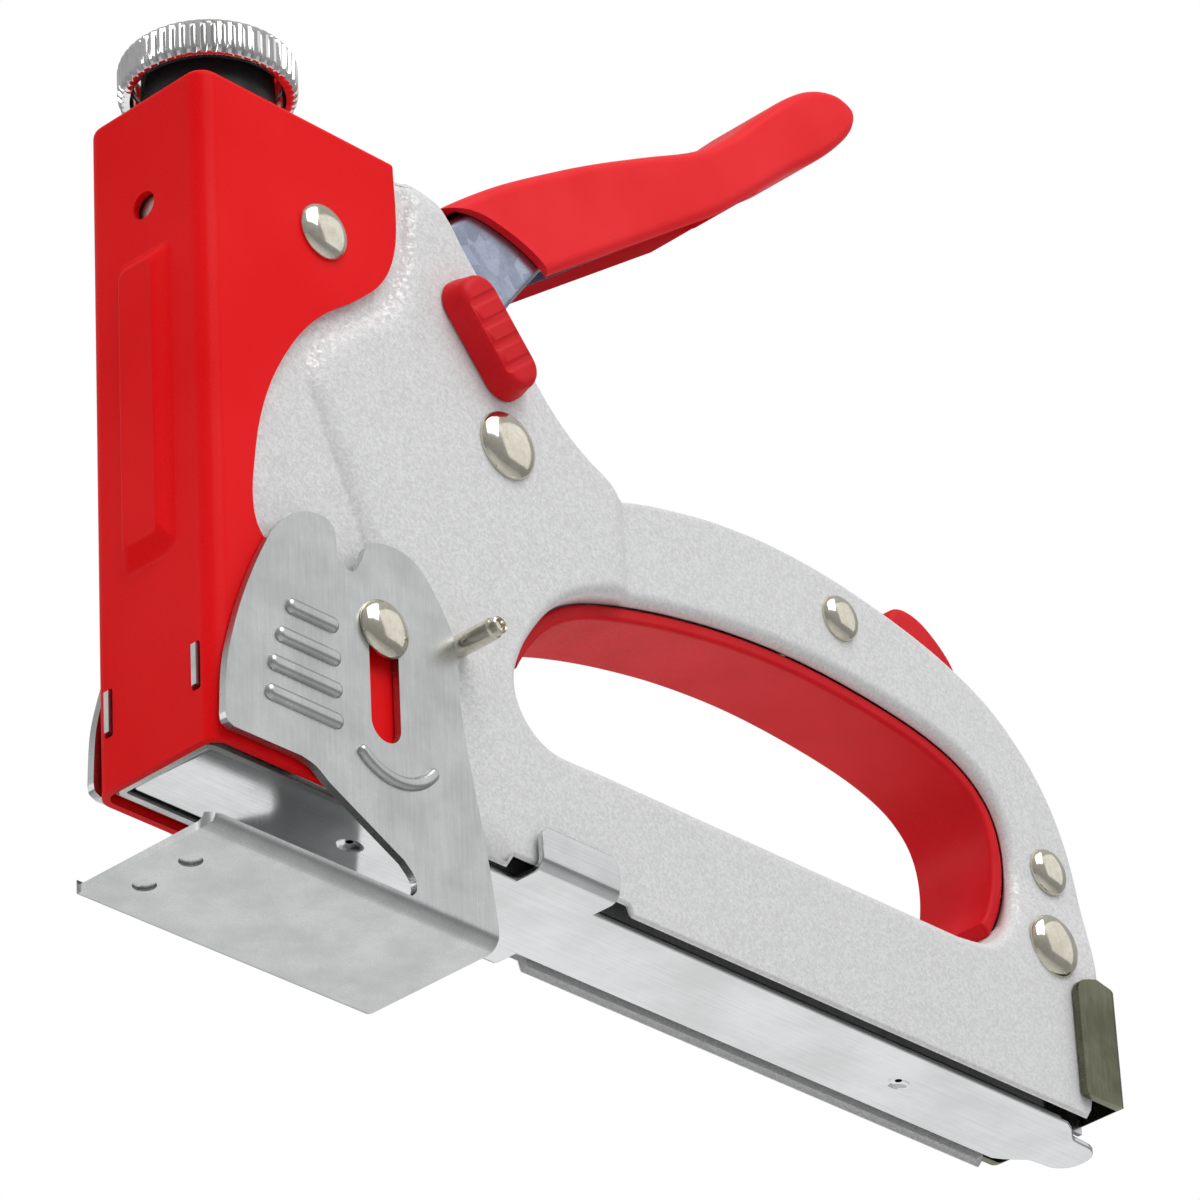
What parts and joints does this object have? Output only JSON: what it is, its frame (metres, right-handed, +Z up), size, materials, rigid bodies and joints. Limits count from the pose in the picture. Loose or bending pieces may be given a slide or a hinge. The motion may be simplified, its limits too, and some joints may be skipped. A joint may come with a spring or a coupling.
{
  "type": "staple gun",
  "caption": "Hand staple gun: squeeze lever, spring hammer, adjusting knob, slotted foot, pull-out magazine and looped hand grip.",
  "frame": {"origin": "centre of the foot's sole, on its underside, in the tool's middle plane", "axes": "+X back along the magazine towards its end, +Z up along the nose, -Y the side with the lock slider and the stud"},
  "size_m": [0.1876, 0.0347, 0.1808],
  "materials": {
    "red_paint": "gloss red paint on pressed steel",
    "silver_paint": "silver grey paint with a fine metallic sparkle",
    "zinc": "zinc plated sheet steel",
    "chrome": "bright plating",
    "nickel": "polished nickel plated rivets, slightly warm",
    "bright_steel": "ground steel",
    "spring_steel": "dark oiled spring wire",
    "red_plastic": "satin red moulding",
    "red_vinyl": "soft red vinyl sleeve",
    "black_plastic": "black moulding",
    "rubber": "black rubber"
  },
  "bodies": {
    "body": {"nose_cover": "red_paint", "nose_channel": "zinc", "hammer_bumper": "rubber", "bumper_pin": "bright_steel", "screw_bridge": "zinc", "body_shell_left": "silver_paint", "body_shell_right": "silver_paint", "grip_insert": "red_plastic", "cover_rivet_left": "nickel", "cover_rivet_right": "nickel", "lever_rivet": "nickel", "foot_rivet": "nickel", "grip_rivet": "nickel", "rear_upper_rivet": "nickel", "rear_lower_rivet": "nickel", "stop_stud": "nickel", "lever_spring": "spring_steel", "magazine_floor": "chrome", "magazine_channel": "zinc"},
    "lever": {"lever_arm": "zinc", "lever_grip": "red_vinyl", "lift_roller": "bright_steel", "roller_pin": "bright_steel"},
    "hammer": {"hammer": "zinc", "driver_blade": "bright_steel", "blade_pin": "bright_steel", "main_spring": "spring_steel"},
    "seat": {"spring_seat": "bright_steel"},
    "knob": {"adjusting_knob": "chrome", "knob_hub": "black_plastic", "adjusting_screw": "bright_steel"},
    "lock": {"lock_slider": "red_plastic"},
    "foot": {"foot_stirrup": "zinc"},
    "tray": {"staple_rail": "bright_steel", "rear_clip": "zinc", "guide_rod": "bright_steel"},
    "pusher": {"staple_pusher": "zinc", "pusher_spring": "spring_steel"}
  },
  "joints": [
    {"name": "lever_hinge", "type": "hinge", "parent": "body", "child": "lever", "pos_m": [0.03415, 0, 0.0823], "axis": [0, 1, 0], "range_deg": [0, 42], "stiffness_Nm_per_rad": 0.4, "springref_deg": -34.38},
    {"name": "hammer_slide", "type": "slide", "parent": "body", "child": "hammer", "axis": [0, 0, 1], "range_m": [0, 0.0237], "deforming": ["main_spring"]},
    {"name": "seat_travel", "type": "slide", "parent": "body", "child": "seat", "axis": [0, 0, 1], "range_m": [-0.0004, 0.0022]},
    {"name": "knob_turn", "type": "hinge", "parent": "seat", "child": "knob", "pos_m": [-0.01075, 0, 0.125], "axis": [0, 0, -1], "range_deg": [-640, 120]},
    {"name": "lock_travel", "type": "slide", "parent": "body", "child": "lock", "axis": [-0.6388, 0, 0.7694], "range_m": [0, 0.005]},
    {"name": "foot_travel", "type": "slide", "parent": "body", "child": "foot", "axis": [0, 0, 1], "range_m": [0, 0.0132]},
    {"name": "magazine_travel", "type": "slide", "parent": "body", "child": "tray", "axis": [1, 0, 0], "range_m": [0, 0.1]},
    {"name": "pusher_travel", "type": "slide", "parent": "tray", "child": "pusher", "axis": [1, 0, 0], "range_m": [0, 0.11], "stiffness_N_per_m": 20, "springref_m": -0.05, "deforming": ["pusher_spring"]}
  ],
  "couplings": [
    {"joint": "hammer_slide", "follows": "lever_hinge", "m_per_rad": 0.03226},
    {"joint": "knob_turn", "follows": "seat_travel", "rad_per_m": -5026.5}
  ]
}
